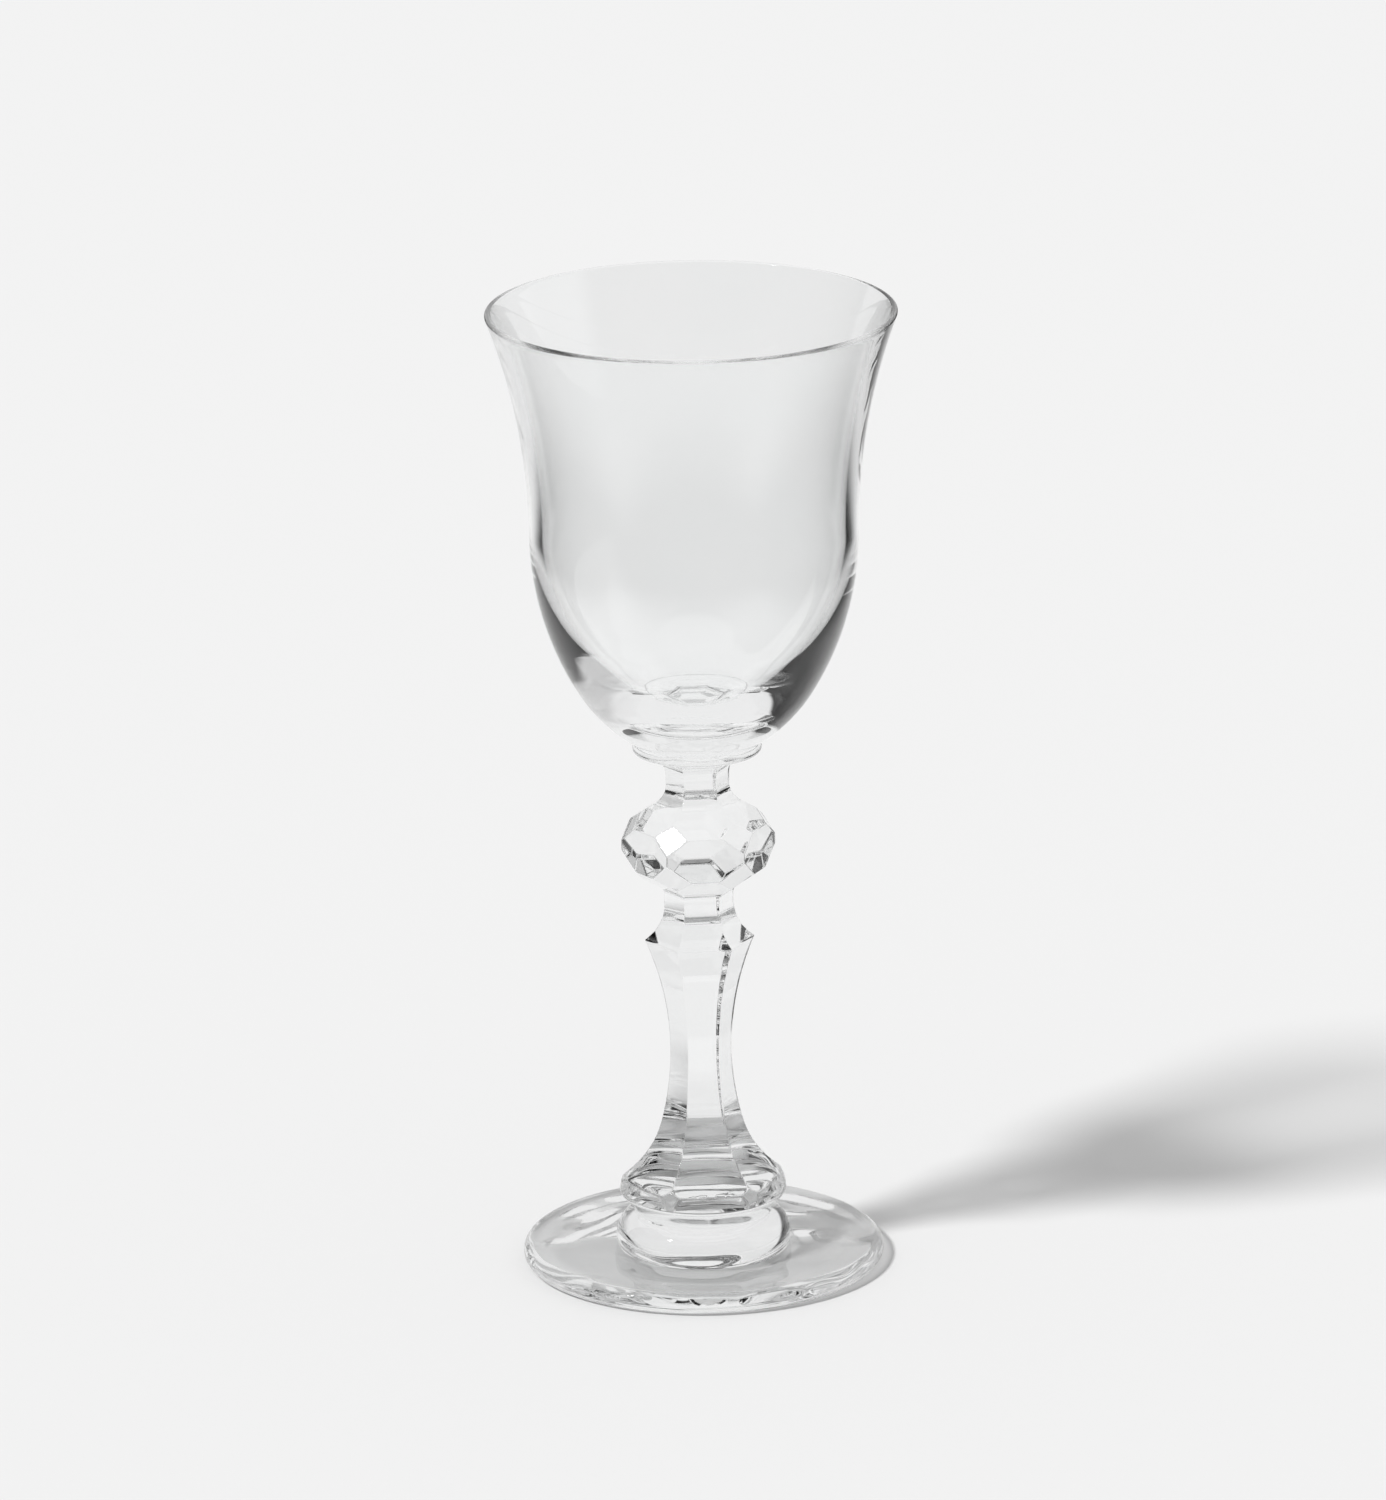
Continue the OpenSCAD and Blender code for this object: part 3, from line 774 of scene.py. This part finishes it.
turned_piece(
    "bowl",
    bowl_points + [0, BOWL_Z],
    bowl_on_joint,
    crystal(
        "bowl_crystal",
        shade_through=0.98,
        shade_edge=0.5,
        thick_shade=0.62,
        thick_z=(83.0, 91.0),
        wave_size=90.0,
        wave_height=0.012,
        ring_size=420.0,
        ring_height=0.0008,
        wear=0.004,
    ),
)


# Table, light and camera
# A plain pale table, one soft studio lamp from the left behind the camera, and a pale room. Only the
# glass shows painted reflections: dark parts at the room's sides and past the table's near edges,
# and a painted highlight for the lamp. The camera stands at the photograph's distance and height.

# Lengths in this section are in metres, apart from the lens
CAMERA_M = 1.470
CAMERA_RISE = math.radians(16.7)
CAMERA_TURN = math.radians(6)
CAMERA_ROLL = math.radians(0.8)
AIM = Vector((0, 0, 0.0758))
away = Vector((math.sin(CAMERA_TURN), math.cos(CAMERA_TURN), 0))
right = Vector((math.cos(CAMERA_TURN), -math.sin(CAMERA_TURN), 0))

TABLE_HALF = 4.0
TABLE_DROP = 0.00005
TABLE_SHADE = 0.8
TABLE_ROUGHNESS = 0.95
# Near black of the painted dark reflection, and the spans in metres across and onwards where the
# mirrored table turns to it
MIRRORED_TABLE_DARK = 0.012
DARK_PAST_LEFT = (-0.26, -0.14)
DARK_PAST_RIGHT = (0.12, 0.22)
DARK_PAST_FRONT = (-0.22, -0.11)
# Light Path counts bounces in whole numbers, so a count above this is one bounce or more
ONE_BOUNCE = 0.5
table_mesh = bpy.data.meshes.new("table_top")
corners = [(-TABLE_HALF, -TABLE_HALF), (TABLE_HALF, -TABLE_HALF)]
corners += [(TABLE_HALF, TABLE_HALF), (-TABLE_HALF, TABLE_HALF)]
table_mesh.from_pydata([(x, y, -TABLE_DROP) for x, y in corners], [], [(0, 1, 2, 3)])
table = bpy.data.objects.new("table_top", table_mesh)
bpy.context.scene.collection.objects.link(table)
table_paper = bpy.data.materials.new("table_paper")
table_paper.use_nodes = True
paper = table_paper.node_tree.nodes["Principled BSDF"]
paper.inputs["Base Color"].default_value = (TABLE_SHADE, TABLE_SHADE, TABLE_SHADE, 1)
paper.inputs["Roughness"].default_value = TABLE_ROUGHNESS
paper.inputs["Specular IOR Level"].default_value = 0.0
table_mesh.materials.append(table_paper)

# Mirrored in the glass, the pale table is painted near black a little way off to the left, right and
# front, a painted dark reflection; seen straight on, it runs on pale
table_nodes, table_links = table_paper.node_tree.nodes, table_paper.node_tree.links


def feed(links, socket, value):
    """Gives a socket its value, which is a link or a plain number or vector."""
    if isinstance(value, bpy.types.NodeSocket):
        links.new(value, socket)
    else:
        socket.default_value = value


def linked(nodes, links, kind, operation, *values):
    """A math node of one operation, its inputs fed in turn."""
    node = nodes.new(kind)
    node.operation = operation
    for socket, value in zip(node.inputs, values):
        feed(links, socket, value)
    return node.outputs["Value"]


def ramp(nodes, links, value, start, end):
    """0 where the value is below start, 1 above end, and an even ease between the two."""
    node = nodes.new("ShaderNodeMapRange")
    node.interpolation_type = "SMOOTHSTEP"
    links.new(value, node.inputs["Value"])
    node.inputs["From Min"].default_value = start
    node.inputs["From Max"].default_value = end
    return node.outputs[0]


def table_math(operation, *values):
    """A math node in the table's paper."""
    return linked(table_nodes, table_links, "ShaderNodeMath", operation, *values)


table_spot = table_nodes.new("ShaderNodeTexCoord").outputs["Object"]
table_across, table_onwards = (
    linked(table_nodes, table_links, "ShaderNodeVectorMath", "DOT_PRODUCT", table_spot, way)
    for way in (right, away)
)
pale_share = table_math(
    "MULTIPLY",
    ramp(table_nodes, table_links, table_across, *DARK_PAST_LEFT),
    ramp(table_nodes, table_links, table_onwards, *DARK_PAST_FRONT),
)
past_right = ramp(table_nodes, table_links, table_across, *DARK_PAST_RIGHT)
pale_share = table_math("MULTIPLY", pale_share, table_math("SUBTRACT", 1.0, past_right))
table_path = table_nodes.new("ShaderNodeLightPath")
mirrored_table = table_math("GREATER_THAN", table_path.outputs["Glossy Depth"], ONE_BOUNCE)
# Painted dark reflection: past those spans the glass mirrors the table near black
painted_dark_reflection = table_nodes.new("ShaderNodeBsdfDiffuse")
painted_dark_reflection.inputs["Color"].default_value = (MIRRORED_TABLE_DARK, MIRRORED_TABLE_DARK, MIRRORED_TABLE_DARK, 1)
table_mix = table_nodes.new("ShaderNodeMixShader")
painted_dark_share = table_math("SUBTRACT", 1.0, pale_share)
table_links.new(table_math("MULTIPLY", painted_dark_share, mirrored_table), table_mix.inputs[0])
table_links.new(paper.outputs[0], table_mix.inputs[1])
table_links.new(painted_dark_reflection.outputs[0], table_mix.inputs[2])
table_links.new(table_mix.outputs[0], table_nodes["Material Output"].inputs["Surface"])

LAMP_RISE = math.radians(48.5)
LAMP_TO_LEFT = 0.85
LAMP_TO_FRONT = 0.53
LAMP_POWER = 2.84
LAMP_SPREAD = math.radians(9)
LAMP_DISTANCE = 2
towards_lamp = -LAMP_TO_LEFT * right - LAMP_TO_FRONT * away
towards_lamp = towards_lamp.normalized() * math.cos(LAMP_RISE)
towards_lamp.z = math.sin(LAMP_RISE)
lamp = bpy.data.lights.new("studio_lamp", "SUN")
lamp.energy = LAMP_POWER
lamp.angle = LAMP_SPREAD
lamp.cycles.use_multiple_importance_sampling = False
lamp_object = bpy.data.objects.new("studio_lamp", lamp)
lamp_object.rotation_mode = "QUATERNION"
lamp_object.rotation_quaternion = towards_lamp.to_track_quat("Z", "Y")
lamp_object.location = towards_lamp * LAMP_DISTANCE
lamp_object.visible_glossy = False
lamp_object.visible_transmission = False
bpy.context.scene.collection.objects.link(lamp_object)

ROOM_LIGHT = 0.44
# The back wall's shade is also the plain backdrop. The other shades are painted reflections, which
# only the glass shows and which light nothing.
BACK_WALL = 0.84
CEILING = 0.86
RIGHT_WALL = 0.6
DARK_IN_MIRRORS = 0.004
# Brightness of the painted highlight that stands for the lamp in the glass's mirrorings
PAINTED_HIGHLIGHT = 26.0

# Degrees of bearing or rise over which one part of the room gives way to the next
LEFT_DARK_ENDS = (-60, -54)
RIGHT_WALL_STARTS = (60, 80)
REAR_DARK_STARTS = (104, 122)
CEILING_STARTS = (50, 56)

# Bearing and rise of a painted highlight, a bright disc at the spot where the knop mirrors the
# lamp's bright front, and the angles from its middle where it has faded out and where it is still
# full
HIGHLIGHT_TURN = math.radians(-122.3)
HIGHLIGHT_RISE = math.radians(45.4)
HIGHLIGHT_OUTSIDE = math.radians(3)
HIGHLIGHT_INSIDE = math.radians(2.4)


def room_node(kind, operation, *values):
    """A math node in the room's light."""
    return linked(room_nodes, room_links, kind, operation, *values)


def eased(value, start, end):
    """A ramp in the room's light."""
    return ramp(room_nodes, room_links, value, start, end)


def blended(share, first, second):
    """The first value where the share is 0, the second where it is 1, mixed between."""
    node = room_nodes.new("ShaderNodeMix")
    # Sockets 0, 2 and 3 of a Mix node take the share and its two numbers
    feed(room_links, node.inputs[0], share)
    feed(room_links, node.inputs[2], first)
    feed(room_links, node.inputs[3], second)
    return node.outputs[0]


scene = bpy.context.scene
highlight_way = math.sin(HIGHLIGHT_TURN) * right + math.cos(HIGHLIGHT_TURN) * away
highlight_way = math.cos(HIGHLIGHT_RISE) * highlight_way
highlight_way.z = math.sin(HIGHLIGHT_RISE)
room = bpy.data.worlds.new("studio_room")
scene.world = room
room.use_nodes = True
room_nodes, room_links = room.node_tree.nodes, room.node_tree.links
room_light = room_nodes["Background"]
looking = room_nodes.new("ShaderNodeTexCoord").outputs["Generated"]
sideways = room_node("ShaderNodeVectorMath", "DOT_PRODUCT", looking, right)
onwards = room_node("ShaderNodeVectorMath", "DOT_PRODUCT", looking, away)
upwards = room_node("ShaderNodeVectorMath", "DOT_PRODUCT", looking, Vector((0, 0, 1)))
# Degrees round the room from straight ahead, clockwise, and degrees above the table
bearing = room_node("ShaderNodeMath", "ARCTAN2", sideways, onwards)
bearing = room_node("ShaderNodeMath", "DEGREES", bearing)
rise = room_node("ShaderNodeMath", "DEGREES", room_node("ShaderNodeMath", "ARCSINE", upwards))

# Painted reflections by bearing, which only the glass mirrors: dark from the camera round to the
# left, pale ahead, half pale on the right, and dark again from there round to the camera
wall = blended(eased(bearing, *LEFT_DARK_ENDS), DARK_IN_MIRRORS, BACK_WALL)
wall = blended(eased(bearing, *RIGHT_WALL_STARTS), wall, RIGHT_WALL)
wall = blended(eased(bearing, *REAR_DARK_STARTS), wall, DARK_IN_MIRRORS)
seen_room = blended(eased(rise, *CEILING_STARTS), wall, CEILING)
highlight_dot = room_node("ShaderNodeVectorMath", "DOT_PRODUCT", looking, highlight_way)
highlight_disc = eased(highlight_dot, math.cos(HIGHLIGHT_OUTSIDE), math.cos(HIGHLIGHT_INSIDE))
path = room_nodes.new("ShaderNodeLightPath")
# Straight through the glass the room is as pale as its back wall, and mirrored it has its painted
# walls and dark parts
mirrored = room_node(
    "ShaderNodeMath", "GREATER_THAN", path.outputs["Glossy Depth"], ONE_BOUNCE
)
seen_room = blended(mirrored, BACK_WALL, seen_room)
outside = room_node(
    "ShaderNodeMath", "LESS_THAN", path.outputs["Transmission Depth"], ONE_BOUNCE
)
highlight_disc = room_node("ShaderNodeMath", "MULTIPLY", highlight_disc, outside)
# Painted highlight: seen only by rays that the glass mirrors before any pass through it, and it
# lights nothing
seen_room = blended(highlight_disc, seen_room, PAINTED_HIGHLIGHT)
through_glass = room_node(
    "ShaderNodeMath", "MAXIMUM", path.outputs["Is Glossy Ray"], path.outputs["Is Transmission Ray"]
)
straight = room_node("ShaderNodeMath", "LESS_THAN", path.outputs["Diffuse Depth"], ONE_BOUNCE)
through_glass = room_node("ShaderNodeMath", "MULTIPLY", through_glass, straight)
shown = blended(path.outputs["Is Camera Ray"], ROOM_LIGHT, BACK_WALL)
shown = blended(through_glass, shown, seen_room)
room_links.new(shown, room_light.inputs["Strength"])
room_light.inputs["Color"].default_value = (1, 1, 1, 1)

LENS_MM = 249.5
SENSOR_MM = 36
FRAME_SHIFT_PX = -4
FRAME_LONG_PX = 1500
NEAREST_SEEN = 0.05
FARTHEST_SEEN = 50
camera = bpy.data.cameras.new("studio_camera")
camera.lens = LENS_MM
camera.sensor_width = SENSOR_MM
camera.shift_x = FRAME_SHIFT_PX / FRAME_LONG_PX
camera.clip_start = NEAREST_SEEN
camera.clip_end = FARTHEST_SEEN
camera_object = bpy.data.objects.new("studio_camera", camera)
back = -away * math.cos(CAMERA_RISE) + Vector((0, 0, math.sin(CAMERA_RISE)))
camera_object.location = AIM + back * CAMERA_M
camera_object.rotation_mode = "QUATERNION"
camera_object.rotation_quaternion = back.to_track_quat("Z", "Y") @ Quaternion(
    (0, 0, 1), -CAMERA_ROLL
)
scene.collection.objects.link(camera_object)
scene.camera = camera_object

# Light that is mirrored round inside the facets needs many bounces before it leaves the glass
MIRROR_BOUNCES = 96
CLEAR_BOUNCES = 64
scene.view_settings.view_transform = "Standard"
scene.cycles.max_bounces = MIRROR_BOUNCES
scene.cycles.transmission_bounces = CLEAR_BOUNCES
scene.cycles.glossy_bounces = MIRROR_BOUNCES
scene.cycles.transparent_max_bounces = CLEAR_BOUNCES
